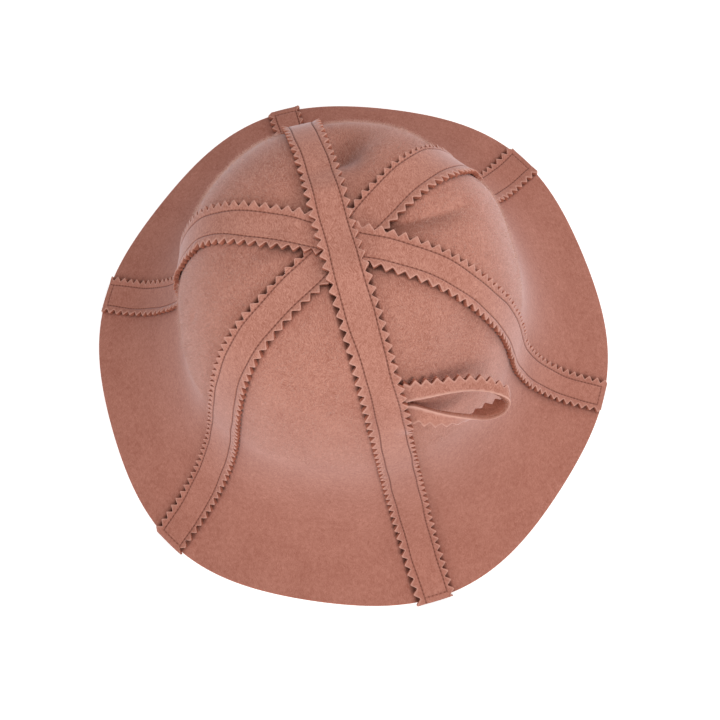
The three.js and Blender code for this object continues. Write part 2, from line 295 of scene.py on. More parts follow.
# The seams in order round the bell, each named by the strip and the end of it that covers it. Each gore
# lies between two of them.
SEAMS = [(strip, end) for end in ("head", "tail") for strip in STRIPS]
GORES = dict(zip(
    ["gore_front_right", "gore_right", "gore_back_right", "gore_back_left", "gore_left", "gore_front_left"],
    zip(SEAMS, SEAMS[1:] + SEAMS[:1])))


def bezier(a, b, c, d, share):
    """A curve that leaves a towards b and comes to d from c."""
    rest = 1 - share
    return rest**3 * a + 3 * rest**2 * share * b + 3 * rest * share**2 * c + share**3 * d


def distances(line):
    """Distances along a line from its first point to each."""
    return np.concatenate([[0], np.cumsum(np.linalg.norm(np.diff(line, axis=0), axis=1))])


def bell_profile():
    """Distance down the felt, place and slope in the (radius, height) plane, from the tip to the rim."""
    wall_down = np.array([sin(WALL_LEAN), -cos(WALL_LEAN)])
    brim_out = np.array([cos(BRIM_SLOPE), -sin(BRIM_SLOPE)])
    tip = np.array([0, CROWN_HEIGHT])
    wall = np.array([WALL_RADIUS, WALL_HEIGHT])
    rim = np.array([RIM_RADIUS, RIM_EDGE])
    share = np.linspace(0, 1, PROFILE_STEPS)[:, None]
    crown = bezier(tip, tip + (TIP_PULL, 0), wall - SHOULDER_PULL * wall_down, wall, share)
    flare = bezier(wall, wall + FLARE_PULL * wall_down, rim - BRIM_PULL * brim_out, rim, share)
    line = np.concatenate([crown, flare[1:]])
    run = distances(line)
    slope = np.gradient(line, run, axis=0)
    slope /= np.linalg.norm(slope, axis=1)[:, None]
    return run, (*line.T, *slope.T)


PROFILE_RUN, PROFILE_COLUMNS = bell_profile()
RUN = PROFILE_RUN[-1]


def profile_at(run):
    """Radius, height, and the two parts of the slope, at distances down from the tip."""
    return [np.interp(run, PROFILE_RUN, column) for column in PROFILE_COLUMNS]


def smoothstep(value, low, high):
    """From 0 up to low to 1 from high on, with a soft start and a soft end."""
    share = np.clip((value - low) / (high - low), 0, 1)
    return share * share * (3 - 2 * share)


def around(turn):
    """A turn brought between half a turn back and half a turn on."""
    return np.arctan2(np.sin(turn), np.cos(turn))


def dent_depth(direction, run, on_strip):
    """How far the dents press in the felt, or a strip over it."""
    radius = profile_at(run)[0]
    depth = 0
    for dent in DENTS:
        share = dent["followed"] if on_strip else 1
        at_dent = profile_at(dent["down"] * MM)[0]
        aside = around(direction - radians(dent["at"])) * np.minimum(radius, at_dent) / MM
        down = run / MM - dent["down"]
        spread = (down / dent["length"]) ** 2 + (aside / dent["breadth"]) ** 2
        depth = depth + share * dent["depth"] * MM * np.exp(-spread)
    return depth


def fold(direction, run):
    """Depth of the fold between the strips at places on the gores, and how dark it is there."""
    turn = direction - np.radians(np.interp(run / MM, FOLD_LINE["down"], FOLD_LINE["direction"]))
    side = around(turn) * profile_at(run)[0]
    share = smoothstep(run, *FOLD_STARTS) * (1 - smoothstep(run, *FOLD_ENDS))
    reach = np.where(side < 0, FOLD_SIDES["front"], FOLD_SIDES["back"])
    shaded = np.where(side < 0, FOLD_SHADED["front"], FOLD_SHADED["back"])
    depth = FOLD_DEPTH * share * np.exp(-np.abs(side) / reach)
    return depth, FOLD_SHADE * share * np.exp(-((side / shaded) ** 2))


def seam_sink(from_middle, run):
    """How far the felt is drawn in, at a distance from the middle of the strip that covers a seam."""
    near_rim, inside = SINK_FADE
    fade = smoothstep(RUN - run, near_rim, inside)
    return SEAM_SINK["depth"] * fade * np.exp(-((from_middle / SEAM_SINK["breadth"]) ** 2))


def felt_point(direction, run, lift, on_strip=False):
    """Places on or over the gores' outer face, as an array of points."""
    radius, height, slope_out, slope_up = profile_at(run)
    offset = lift - dent_depth(direction, run, on_strip)
    if not on_strip:
        offset = offset - fold(direction, run)[0]
    swell = 0
    for wave in RIM_WAVES:
        swell = swell + wave["amount"] * np.cos(wave["count"] * (direction - radians(wave["peak"])))
    reach = radius * (1 + swell * (run / RUN) ** WAVES_GROW) - slope_up * offset
    up = height + slope_out * offset
    return np.stack([reach * np.cos(direction), reach * np.sin(direction), up + 0 * reach], axis=-1)


def bowed(share):
    """From 0 at both ends to 1 half-way."""
    return 4 * share * (1 - share)


def seam_direction(seam, run):
    """Directions from the tip to places down a seam, which bows with the strip over it."""
    name, end = seam
    strip = STRIPS[name]
    bow = strip[end + "_bow"] * MM * bowed(run / RUN)
    turn = np.arcsin(np.clip(bow / profile_at(run)[0], -1, 1))
    if end == "head":
        return radians(strip["heading"]) + turn
    return radians(strip["tail"]) - turn


def hermite(a, b, leaving, arriving, share):
    """A curve from a to b with the slopes that it has at both."""
    return (a * (2 * share**3 - 3 * share**2 + 1) + leaving * (share**3 - 2 * share**2 + share)
            + b * (3 * share**2 - 2 * share**3) + arriving * (share**3 - share**2))


def side_at(name, side, column, along):
    """A column of a strip's side, on a smooth curve through the stations and straight on past them."""
    values = np.array(SIDES[name, side][column])
    slopes = np.gradient(values, STATIONS)
    first = np.clip(np.searchsorted(STATIONS, along, side="right") - 1, 0, len(values) - 2)
    gap = STATIONS[first + 1] - STATIONS[first]
    past = (along - STATIONS[first]) / gap
    share = np.clip(past, 0, 1)
    leaving, arriving = slopes[first] * gap, slopes[first + 1] * gap
    curve = hermite(values[first], values[first + 1], leaving, arriving, share)
    return curve + (past - share) * np.where(past < 0, leaving, arriving)


def from_strip(seam, distance, run, onward):
    """For places on a gore at a distance onward from a seam round the bell (1), or back from it (-1): how
    far they lie from the middle of the strip over it, and past the middle of that strip's teeth."""
    name, end = seam
    to_left = onward if end == "head" else -onward
    from_middle = np.abs(distance - to_left * STRIPS[name]["shift"] * MM * (1 - run / RUN) ** 2)
    along = run if end == "head" else -run
    teeth = side_at(name, "left" if to_left > 0 else "right", "teeth", along + 0 * distance)
    return from_middle, from_middle - teeth * MM


def across_gore(seams, run, share, half_gap=0):
    """Directions to places at shares of the way from a gore's first seam to its second, and how the places
    lie to the strips over both seams."""
    from_seam, to_seam = seams
    start = seam_direction(from_seam, run) + half_gap
    end = seam_direction(to_seam, run) - half_gap
    end = np.where(end < start, end + 2 * pi, end)
    direction = start + (end - start) * share
    radius = profile_at(run)[0]
    after = from_strip(from_seam, radius * (direction - start), run, 1)
    before = from_strip(to_seam, radius * (end - direction), run, -1)
    return direction, after, before


def closed_sweep(points, masks=()):
    """A mesh of closed rings: points[..., ring, place, xyz]. The first and last ring are capped."""
    rings, places = points.shape[-3:-1]
    bodies = points.reshape(-1, rings * places, 3)
    here = np.arange((rings - 1) * places).reshape(-1, places)
    beside = np.roll(here, -1, axis=1)
    walls = np.stack([here, beside, beside + places, here + places], axis=-1).reshape(-1, 4)
    first_cap = np.arange(places)
    last_cap = rings * places - 1 - first_cap
    faces = []
    for start in np.arange(len(bodies)) * rings * places:
        faces += [*(walls + start).tolist(), (first_cap + start).tolist(), (last_cap + start).tolist()]
    mesh = bpy.data.meshes.new("rings")
    mesh.from_pydata(bodies.reshape(-1, 3), [], faces)
    solid = bmesh.new()
    solid.from_mesh(mesh)
    bmesh.ops.recalc_face_normals(solid, faces=solid.faces)
    solid.to_mesh(mesh)
    solid.free()
    mesh.shade_smooth()
    for mask, values in dict(masks).items():
        layer = mesh.attributes.new(mask, "FLOAT", "POINT")
        spread = np.broadcast_to(values, points.shape[:-1])
        layer.data.foreach_set("value", spread.ravel().astype(np.float32))
    return mesh


def add_piece(name, mesh, material, replaced=None):
    """A finished piece of the hat, in place of a node of the frame if one is named."""
    mesh.name = name
    mesh.materials.append(material)
    piece = new_object(name, mesh)
    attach(piece, "root")
    if replaced:
        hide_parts(replaced)


FELT_DARK = (0.350, 0.130, 0.0895, 1)
FELT_LIGHT = (0.552, 0.259, 0.195, 1)
CUT_AND_LOOP_SHADE_DARK = (0.31, 0.10, 0.062, 1)  # the felt is redder where it is cut; on the loop's inner face the same colour is painted shade
CUT_AND_LOOP_SHADE_LIGHT = (0.53, 0.20, 0.134, 1)
# the colour of the painted shade in the stitches' groove and needle holes
GROOVE_SHADE = (0.17, 0.055, 0.036, 1)
FELT_SHADED = (0.085, 0.025, 0.016, 1)
# the paler fuzz along cut edges and a painted highlight where their rounded corners catch the light
FUZZ_AND_HIGHLIGHT_COLOUR = (0.66, 0.36, 0.29, 1)
BRIM_TINT = (0.905, 0.845, 0.84, 1)

# How much each part of the melange changes the felt's tone, and its scale. The fibres lie in two layers
# of strokes, and a swirl keeps them from lying straight.
CLOUDS = {"amount": 0.5, "scale": 55.0}
MOTTLE = {"amount": 0.9, "scale": 420.0}
FIBRES = {"amount": 4.0, "less_on_brim": 1.7, "shape": (1.0, 0.3, 0.7)}
FIBRE_LAYERS = [{"turn": 40, "scale": 2100.0}, {"turn": -55, "scale": 2500.0}]
SWIRL = {"by": (0.006, 0.006, 0.006), "scale": 160.0}

STITCH_REACH = 1.5  # mm from a line of stitches over which its place is recorded on the mesh
LINE_SHADE_REACH = 0.55  # mm to either side of it, where the felt is drawn down and painted shade darkens it
# Shares of that painted shade: all along the groove, more at the needle holes, varied by the mottle.
LINE_DARK = {"thread": 0.25, "holes": 0.7, "mottle": 0.8}
RELIEF = {"height": 0.35 * MM, "strength": 0.5, "mottle": 0.45, "fibres": 0.55}
MATT = {"Roughness": 0.95, "Specular IOR Level": 0.1}
FUZZY = {"Sheen Weight": 0.43, "Sheen Roughness": 0.4, "Sheen Tint": (0.93, 0.88, 0.95, 1)}


def felt_material(name):
    """Thick wool felt: a melange of fine fibres, cloudy on a larger scale. Masks on the mesh say where it
    is cut, where painted shade darkens it, where the paler fuzz and a painted highlight lighten its edges,
    where it is darker towards the brim, and where stitches draw it down, with painted shade in the groove."""
    material, shader, place = start_material(name)
    tree = material.node_tree

    def mask(attribute):
        return place.node("ShaderNodeAttribute", {"attribute_name": attribute}, output=2)

    brim = mask("brim")
    clouds = place.noise(CLOUDS["scale"], Detail=3.0)
    mottle = place.noise(MOTTLE["scale"], Detail=3.0, Roughness=0.6)
    warp = place.noise(SWIRL["scale"], output=1, Detail=1.0)
    swirl = place.node("ShaderNodeVectorMath", {"operation": "MULTIPLY_ADD"}, {
        0: warp, 1: SWIRL["by"], 2: place})
    strokes = []
    for layer in FIBRE_LAYERS:
        stretched = place.node("ShaderNodeMapping", (), {
            "Vector": swirl, "Rotation": (0, 0, radians(layer["turn"])), "Scale": FIBRES["shape"]})
        strokes.append(stretched.noise(layer["scale"], Detail=2.0, Roughness=0.7))
    fibres = 0.5 * (strokes[0] + strokes[1])
    strength = FIBRES["amount"] - FIBRES["less_on_brim"] * brim
    tone = 0.5 + CLOUDS["amount"] * (clouds - 0.5) + MOTTLE["amount"] * (mottle - 0.5)
    tone = tone + strength * (fibres - 0.5)
    colour = tone.mixed(FELT_DARK, FELT_LIGHT)
    colour = brim.mixed(colour, BRIM_TINT, "MULTIPLY")
    # Redder where the felt is cut, and on the loop's inner face as painted shade.
    colour = mask("cut").mixed(colour, tone.mixed(CUT_AND_LOOP_SHADE_DARK, CUT_AND_LOOP_SHADE_LIGHT))
    # The paler fuzz and a painted highlight along the edges.
    colour = mask("worn").mixed(colour, FUZZ_AND_HIGHLIGHT_COLOUR)
    # Painted shade in the groove that the stitches draw, darkest at the needle holes.
    from_line = STITCH_REACH - mask("to_line")
    line = (1 - (from_line * (1 / LINE_SHADE_REACH)) ** 2).math("MAXIMUM", 0)
    hole = 0.5 + 0.5 * (2 * pi * mask("stitch_count")).math("COSINE")
    pressed = line * (
        LINE_DARK["thread"] + LINE_DARK["holes"] * hole + LINE_DARK["mottle"] * (mottle - 0.5))
    colour = pressed.mixed(colour, GROOVE_SHADE)
    colour = mask("shaded").mixed(colour, FELT_SHADED)
    relief = place.node("ShaderNodeBump", (), {
        "Strength": RELIEF["strength"], "Distance": RELIEF["height"],
        "Height": RELIEF["mottle"] * mottle + RELIEF["fibres"] * fibres})
    plain = {"Base Color": colour, "Normal": relief, **MATT}
    kind = "ShaderNodeBsdfPrincipled"
    # No sheen where the felt is cut, nor in its painted shade.
    sheenless = mask("cut").math("MAXIMUM", mask("shaded"))
    surface = place.node("ShaderNodeMixShader", (), {
        0: sheenless, 1: place.node(kind, (), {**plain, **FUZZY}), 2: place.node(kind, (), plain)})
    tree.nodes.remove(shader)
    tree.links.new(surface.socket, tree.nodes["Material Output"].inputs["Surface"])
    return material


felt = felt_material("wool_felt")

GORE_STEPS = 150
GORE_COLUMNS = 72
COLUMN_CROWDING = 0.5  # how much closer the columns stand at the seams than on average
GORE_STARTS = 0.003  # share of the way down at which a gore starts, hidden under the strips
RIM_ROUND = 0.5 * MM
RIM_STEPS = 4
FOOT_WIDTH = 4 * MM
FOOT_ROUND = 0.3 * MM
FOOT_RAMP = 4 * MM  # over which the inner face comes down to the foot
HOLLOW = {"depths": (6 * MM, 16 * MM), "shade": 0.25}  # how deep a dent is where it is shaded
BRIM_STARTS = (135 * MM, 225 * MM)  # distances from the tip where the darker brim sets in

# The shade beside a strip's edge that looks at the front lamp, and beside one that looks away from it.
LAMP_SIDE = {"reach": 0.8 * MM, "shade": 0.4}
FAR_SIDE = {"reach": 2.4 * MM, "shade": 1.0}
SHADE_TUCK = 0.4 * MM  # how far it reaches in under the teeth


def strip_shade(past_teeth, looks):
    """Darkness of the felt beside a strip, from the direction in which the strip's edge looks there."""
    away = 0.5 - 0.5 * np.cos(looks - radians(LAMPS[0]["azimuth"]))
    reach, shade = (LAMP_SIDE[key] + (FAR_SIDE[key] - LAMP_SIDE[key]) * away for key in LAMP_SIDE)
    return shade * (1 - np.clip((past_teeth + SHADE_TUCK) / (reach + SHADE_TUCK), 0, 1) ** 2)


def gore_section():
    """Once round a gore's thickness: distances down from the tip, lifts over the outer face, heights over
    the floor where the foot is pressed flat, and the masks cut and outside."""
    start = GORE_STARTS * RUN
    outer = np.linspace(start, RUN - RIM_ROUND, GORE_STEPS)
    turn = np.linspace(0, pi / 2, RIM_STEPS + 1)[1:]
    corner = RUN - RIM_ROUND + RIM_ROUND * np.sin(turn)
    foot = np.array([RUN, RUN - FOOT_ROUND, RUN - FOOT_WIDTH / 2, RUN - FOOT_WIDTH])
    inner = np.linspace(RUN - FOOT_WIDTH - FOOT_RAMP, start, GORE_STEPS // 2)
    stretches = (
        (outer, 0, np.nan, 0, 1),
        (corner, -RIM_ROUND * (1 - np.cos(turn)), np.nan, 1, 1),
        (foot, 0, (FOOT_ROUND, 0, 0, 0), (1, 0, 0, 0), 0),
        (inner, -FELT, np.nan, 0, 0))
    columns = zip(*([0 * stretch[0] + values for values in stretch] for stretch in stretches))
    return [np.concatenate(column) for column in columns]


for gore, seams in GORES.items():
    run, lift, pressed, cut, outside = gore_section()
    even = np.linspace(0, 1, GORE_COLUMNS + 1)[:, None]
    share = even - COLUMN_CROWDING * np.sin(2 * pi * even) / (2 * pi)
    half_gap = np.arcsin(np.minimum(SEAM_GAP / 2 / profile_at(run)[0], 1))
    direction, after, before = across_gore(seams, run, share, half_gap)
    from_middle = np.minimum(after[0], before[0])
    points = felt_point(direction, run, lift - seam_sink(from_middle, run))
    points[..., 2] = np.where(np.isnan(pressed), points[..., 2], pressed)
    beside_strips = np.maximum(
        strip_shade(after[1], direction + pi / 2), strip_shade(before[1], direction - pi / 2))
    in_hollow = HOLLOW["shade"] * smoothstep(dent_depth(direction, run, False), *HOLLOW["depths"])
    shaded = outside * np.maximum(beside_strips, np.maximum(in_hollow, fold(direction, run)[1]))
    mesh = closed_sweep(points, {"cut": cut, "shaded": shaded, "brim": smoothstep(run, *BRIM_STARTS)})
    add_piece("felt_" + gore, mesh, felt, gore)

# ---- Strips ----
# Bands of thinner felt, pinked along both edges, cover the seams from rim to rim. Each is held by
# a line of machine stitches along both sides and one across each end, drawn down into the felt.

STRIP_FELT = 2.6 * MM  # its thickness
SEAT = 0.3 * MM  # between a strip and the felt underneath it
ROW_LENGTH = 0.42 * MM  # between the rows of a strip's mesh

TIP_TURN = 28 * MM  # on each side of the tip, where a strip turns from one direction to the other
CROSSING = 19 * MM  # from the tip, where the strips lie on each other
CROSSING_RAMP = 17 * MM
SQUEEZED = 2.4 * MM  # thickness of each layer where strips cross
LOOP_ROOT = {"middle": 97 * MM, "half": 14.4 * MM}  # where the loop's ends lie under the long strip
TUCK = {"rise": 3.6 * MM, "ramp": 12 * MM, "across": (1 * MM, 9 * MM)}  # how that strip rises over them

TOOTH_DEPTH = 2.75 * MM
TOOTH_SHARPNESS = 0.93  # 1 would be a zigzag with sharp corners
TOOTH_SPREAD = 0.06  # how much the teeth differ in depth
TOOTH_CURL = 0.28 * MM  # how unevenly the teeth stand up
MOST_TEETH = 200  # on one edge, half of them with negative numbers
EDGE_ROUND = 0.35 * MM
EDGE_SWELL = 0.3 * MM  # the free edges are this much thicker than the sewn middle
SWELL_WIDTH = 3 * MM

# How the free edges spring up past the stitches, and how that varies along a strip.
SPRING = {"height": 0.4 * MM, "from": 6.4 * MM, "width": 4.6 * MM, "most": 1.2, "power": 1.5}
SPRING_WAVE = {"amount": 0.5, "short": 9 * MM, "long": 23 * MM, "offset": 3}

STITCH_LENGTH = 2.3 * MM
GROOVE = {"depth": 0.5 * MM, "width": 0.3 * MM}
WANDER = {"by": 0.13 * MM, "short": 4.3 * MM, "long": 7.9 * MM, "offset": 2.7}
LINE_MARGIN = 1.0 * MM  # to each side of a line of stitches, where the mesh has its finest columns
END_LINE = 3.2 * MM  # from a strip's end to the stitches across it
LINE_TAIL = 0.3 * MM  # how far its groove runs past its last stitch
RUN_ON = {("strip_long", "right", "head"): 2.4 * MM, ("strip_cross", "left", "tail"): 2.4 * MM}
END_FACE = 0.2 * MM  # from a strip's end, where the felt shows its cut
STRIP_BRIM = 0.85  # how much of the brim's darker tone the strips have
SIGN = {"left": 1, "right": -1}  # of places to each side of a strip's middle
NEARLY_NONE = 1e-9  # keeps the divisions at the tip itself finite
FAR = 1  # m, in place of the distance from a line that isn't there


def strip_point(strip, along, lateral, lift, on_strip=True):
    """Places on a strip. along: from the tip towards its heading; lateral: to the heading's left."""
    distance = np.abs(along)
    share = distance / RUN
    bow = np.where(along > 0, strip["head_bow"], strip["tail_bow"]) * MM
    aside = lateral + strip["shift"] * MM * (1 - share) ** 2 + bow * bowed(share)
    radius, _, slope_out, _ = profile_at(distance)
    spread = np.minimum(1, (slope_out * distance + NEARLY_NONE) / (radius + NEARLY_NONE))
    run = np.hypot(distance, aside * np.sqrt(spread))
    bend = strip["heading"] - (strip["tail"] - 180)
    straight_on = strip["tail"] - 180 + bend * smoothstep(along, -TIP_TURN, TIP_TURN)
    turn = np.arcsin(np.clip(aside / (profile_at(run)[0] + NEARLY_NONE), -1, 1))
    direction = np.radians(straight_on) + np.where(along >= 0, turn, pi - turn)
    sunk = lift - seam_sink(lateral, distance)
    point = felt_point(direction, np.minimum(run, RUN), sunk, on_strip)
    beyond = np.maximum(run - RUN, 0)
    _, _, rim_out, rim_up = profile_at(RUN)
    point[..., 0] += beyond * rim_out * np.cos(direction)
    point[..., 1] += beyond * rim_out * np.sin(direction)
    point[..., 2] += beyond * rim_up
    return point


def strip_rise(strip, along):
    """Lift of a strip over those underneath it, round the tip."""
    near_tip = 1 - smoothstep(np.abs(along), CROSSING, CROSSING + CROSSING_RAMP)
    return strip["level"] * SQUEEZED * near_tip


def strip_seat(strip, along, lateral):
    """Lift of a strip's underside over the gores. The pinked edges spring up a little past the stitches."""
    past_stitches = np.clip((np.abs(lateral) - SPRING["from"]) / SPRING["width"], 0, SPRING["most"])
    wave = (np.sin(along / SPRING_WAVE["short"] + SPRING_WAVE["offset"] * strip["level"])
            * np.sin(along / SPRING_WAVE["long"] + np.sign(lateral)))
    spring = SPRING["height"] * (1 + SPRING_WAVE["amount"] * wave) * past_stitches ** SPRING["power"]
    seat = SEAT + strip_rise(strip, along) + spring
    if strip is STRIPS["strip_long"]:
        from_loop = np.abs(along - LOOP_ROOT["middle"])
        over_loop = 1 - smoothstep(from_loop, LOOP_ROOT["half"], LOOP_ROOT["half"] + TUCK["ramp"])
        seat = seat + TUCK["rise"] * over_loop * smoothstep(lateral, *TUCK["across"])
    return seat


def tooth_wave(count):
    """From 0 at a notch to 1 at a tooth's tip, a zigzag with its corners a little rounded."""
    swing = np.arcsin(TOOTH_SHARPNESS * np.cos(2 * pi * count)) / np.arcsin(TOOTH_SHARPNESS)
    return 0.5 + 0.5 * swing


def wander(along, seed):
    """The small unevenness of a line of stitches, which a hand guides through the machine."""
    long_wave = np.sin(along / WANDER["long"] + WANDER["offset"] * seed)
    return WANDER["by"] * (np.sin(along / WANDER["short"] + seed) + long_wave)


def strip_side(name, side, along):
    """One side of a strip at places along it: its stitches, its edge, its teeth and their curl."""
    seed = 10 * STRIPS[name]["level"] + SIGN[side] + 3
    stitches = side_at(name, side, "stitches", along) * MM + wander(along, seed)
    count = side_at(name, side, "count", along)
    wave = tooth_wave(count)
    depths, curls = np.random.default_rng(seed).normal(0, 1, (2, MOST_TEETH))
    tooth = np.round(count).astype(int) + MOST_TEETH // 2
    depth = TOOTH_DEPTH * (1 + TOOTH_SPREAD * depths[tooth])
    edge = side_at(name, side, "teeth", along) * MM + depth * (wave - 0.5)
    curl = TOOTH_CURL * curls[tooth] * wave
    return {"stitches": stitches, "edge": edge, "wave": wave, "curl": curl}


def line_ends(name, side):
    """Where a side's line of stitches starts and stops along the strip, and its number of stitches."""
    start = END_LINE - RUN - STRIPS[name]["tail_end"] * MM - RUN_ON.get((name, side, "tail"), 0)
    stop = RUN + STRIPS[name]["head_end"] * MM - END_LINE + RUN_ON.get((name, side, "head"), 0)
    return start, stop, round((stop - start) / STITCH_LENGTH)


# Columns of a strip's mesh: beside a line of stitches, in shares of its margin; from there to the edge, in
# shares of the way; and down the cut edge, where inset is a share of its rounding, level is 0 underneath
# and 1 on top, and shade is the painted shade in a notch. Towards the edge on top, the paler fuzz and a
# painted highlight lighten the felt.
LINE_COLUMNS = (-1.0, -0.55, -0.27, 0, 0.27, 0.55, 1.0)
MARGIN_COLUMNS = [{"share": 0.4, "worn": 0}, {"share": 0.75, "worn": 0.15}, {"share": 1, "worn": 0.7}]
EDGE_COLUMNS = [
    {"inset": 0.3, "level": 0.95, "shade": 0.05, "worn": 0.6},
    {"inset": 0, "level": 0.8, "shade": 0.3, "worn": 0},
    {"inset": 0, "level": 0.2, "shade": 0.6, "worn": 0},
    {"inset": 0.3, "level": 0.05, "shade": 0.9, "worn": 0},
]


def half_section(side):
    """From a strip's middle over its top to one edge, down, and back underneath, at each row: distances
    from the middle, levels in the thickness, and the masks for the cut edge, the painted shade, and the
    paler fuzz with a painted highlight."""
    stitches = side["stitches"]
    notch = 1 - side["wave"]
    edge = side["edge"] - EDGE_ROUND
    margin = edge - stitches - LINE_MARGIN
    flat = 0 * edge
    columns = [(flat, 1, 0, 0, 0), (0.5 * stitches, 1, 0, 0, 0)]
    for share in LINE_COLUMNS:
        columns.append((stitches + share * LINE_MARGIN, 1, 0, 0, 0))
    for place in MARGIN_COLUMNS:
        columns.append((stitches + LINE_MARGIN + margin * place["share"], 1, 0, 0, place["worn"]))
    for place in EDGE_COLUMNS:
        inset = EDGE_ROUND * place["inset"]
        columns.append((side["edge"] - inset, place["level"], 1, place["shade"] * notch, place["worn"]))
    columns += [(edge, 0, 0, 1, 0), (0.5 * stitches, 0, 0, 1, 0)]
    return [np.stack([flat + value for value in values], axis=-1) for values in zip(*columns)]


def strip_mesh(name, strip):
    """A whole strip. Its masks say where it is cut, where painted shade darkens it, where the paler fuzz
    and a painted highlight lighten it, and where its stitches run.
    """
    along = np.arange(-RUN - strip["tail_end"] * MM, RUN + strip["head_end"] * MM, ROW_LENGTH)
    halves = []
    for side, sign in SIGN.items():
        made = strip_side(name, side, along)
        lateral, level, cut, shaded, worn = half_section(made)
        rows = along[:, None] + 0 * lateral
        past_line = lateral - made["stitches"][:, None]
        from_end = np.minimum(rows - along[0], along[-1] - rows)
        start, stop, number = line_ends(name, side)
        sewn = (rows > start - LINE_TAIL) & (rows < stop + LINE_TAIL)
        from_side_line = np.where(sewn, np.abs(past_line), FAR)
        from_cross_line = np.where(past_line < LINE_TAIL, np.abs(from_end - END_LINE), FAR)
        from_line = np.minimum(from_side_line, from_cross_line)
        side_count = (rows - start) / (stop - start) * number
        count = np.where(from_side_line < from_cross_line, side_count, lateral / STITCH_LENGTH)
        on_top = level == 1
        groove = on_top * np.exp(-((from_line / GROOVE["width"]) ** 2))
        sprung = np.clip(past_line / SWELL_WIDTH, 0, 1)
        seat = strip_seat(strip, rows, sign * lateral) + made["curl"][:, None] * sprung
        thickness = STRIP_FELT + EDGE_SWELL * sprung
        lift = seat + thickness * level - GROOVE["depth"] * groove
        end_face = from_end < END_FACE
        halves.append({
            "points": strip_point(strip, rows, sign * lateral, lift), "stitch_count": count,
            "cut": np.maximum(cut, end_face), "shaded": shaded, "worn": worn * (1 - end_face),
            "to_line": on_top * np.maximum(STITCH_REACH - from_line / MM, 0)})
    left, right = halves
    whole = {key: np.concatenate([left[key], right[key][:, ::-1][:, :-1]], axis=1) for key in left}
    whole["brim"] = STRIP_BRIM * smoothstep(np.abs(along), *BRIM_STARTS)[:, None]
    return closed_sweep(whole.pop("points"), whole)


strip_felt = felt_material("strip_wool_felt")
for name, strip in STRIPS.items():
    add_piece("felt_" + name, strip_mesh(name, strip), strip_felt, name)

# ---- Stitches ----
# Lockstitches of polyester thread, a shade darker than the felt, sunk into it: two lines along each
# strip and one across each end. Inside the hat the lower thread runs along the same lines.

THREAD_RADIUS = 0.13 * MM
THREAD_ENDS = 1.02  # the thread thins out towards a stitch's ends, to nothing if this were 1
THREAD_RINGS = 5
THREAD_SIDES = 5
STITCH_GAP = 0.35 * MM  # between two stitches, where the thread goes down through its hole
STITCH_ARCH = 0.16 * MM
STITCH_SINK = 0.12 * MM  # how far a stitch is drawn down at its ends
CROSS_STITCHES = 6
THREAD_PRESSED = {"rise": 1.9 * MM, "reach": 5.5 * MM}  # the hat's weight sinks it in near the rim
THREAD = {
    "dark": (0.16, 0.058, 0.04, 1), "light": (0.33, 0.14, 0.10, 1), "grain": 2600.0,
    "finish": {"Roughness": 0.75, "Specular IOR Level": 0.2}}


def stitch_centres(name, strip):
    """Middles and headings of all the stitches that hold one strip."""
    centres = []
    headings = []
    for side, sign in SIGN.items():
        start, stop, number = line_ends(name, side)
        along = start + (np.arange(number) + 0.5) * (stop - start) / number
        lateral = sign * strip_side(name, side, along)["stitches"]
        slope = np.gradient(lateral, along)
        centres.append(np.stack([along, lateral], axis=-1))
        headings.append(np.stack([1 + 0 * slope, slope], axis=-1))
    for end, reach in ((1, strip["head_end"]), (-1, strip["tail_end"])):
        lateral = (np.arange(CROSS_STITCHES) - 0.5 * (CROSS_STITCHES - 1)) * STITCH_LENGTH
        along = end * (RUN + reach * MM - END_LINE) + 0 * lateral
        centres.append(np.stack([along, lateral], axis=-1))
        headings.append(np.tile([0.0, 1.0], (CROSS_STITCHES, 1)))
    return np.concatenate(centres), np.concatenate(headings)


def on_top(strip, along, lateral, up):
    """Places of the upper thread, in the groove that it draws in the strip."""
    lift = strip_seat(strip, along, lateral) + STRIP_FELT - GROOVE["depth"] + THREAD_RADIUS / 2
    return strip_point(strip, along, lateral, lift + up)


def inside_hat(strip, along, lateral, up):
    """Places of the lower thread, on the gores' inner face."""
    from_rim = RUN - np.abs(along)
    pressed = THREAD_PRESSED["rise"] * (1 - smoothstep(from_rim, 0, THREAD_PRESSED["reach"]))
    return strip_point(strip, along, lateral, pressed - FELT - up, on_strip=False)


def stitches(strip, centres, headings, thread_place):
    """Short arched threads, whose points are where thread_place puts them."""
    share = np.linspace(-1, 1, THREAD_RINGS)
    turn = np.linspace(0, 2 * pi, THREAD_SIDES, endpoint=False)
    half_length = 0.5 * (STITCH_LENGTH - STITCH_GAP)
    arch = STITCH_ARCH * (1 - share**2) - STITCH_SINK
    thick = THREAD_RADIUS * np.sqrt(THREAD_ENDS - share**4)
    forward = share[:, None] * half_length + 0 * turn
    sideways = thick[:, None] * np.cos(turn)
    up = arch[:, None] + thick[:, None] * np.sin(turn)
    ahead, across = headings[:, 0, None, None], headings[:, 1, None, None]
    along = centres[:, 0, None, None] + forward * ahead - sideways * across
    lateral = centres[:, 1, None, None] + forward * across + sideways * ahead
    return thread_place(strip, along, lateral, up + 0 * along)


thread = grained_material("polyester_thread", **THREAD)

for name, strip in STRIPS.items():
    centres, headings = stitch_centres(name, strip)
    for piece, thread_place in (("stitches_" + name, on_top), ("lower_stitches_" + name, inside_hat)):
        mesh = closed_sweep(stitches(strip, centres, headings, thread_place))
        add_piece(piece, mesh, thread)

# ---- Hanging loop ----
# One more band of felt, pinked along one edge, folded into a loop. Both ends are tucked side by side
# under the long strip's edge, where its stitches hold them.

LOOP_TUCK = 8.2 * MM  # where its ends lie, to the left of the long strip's middle
LOOP_LIFT = 0.6 * MM  # of its ends over the gores
LOOP_ENDS = {"straight": (95.4, 97.2), "pinked": (83.5, 109.5)}  # mm from the tip along that strip
LOOP_PITCH = 5.8 * MM  # between two teeth
LOOP_STEPS_PER_TOOTH = 14
LOOP_CURVE_STEPS = 2000

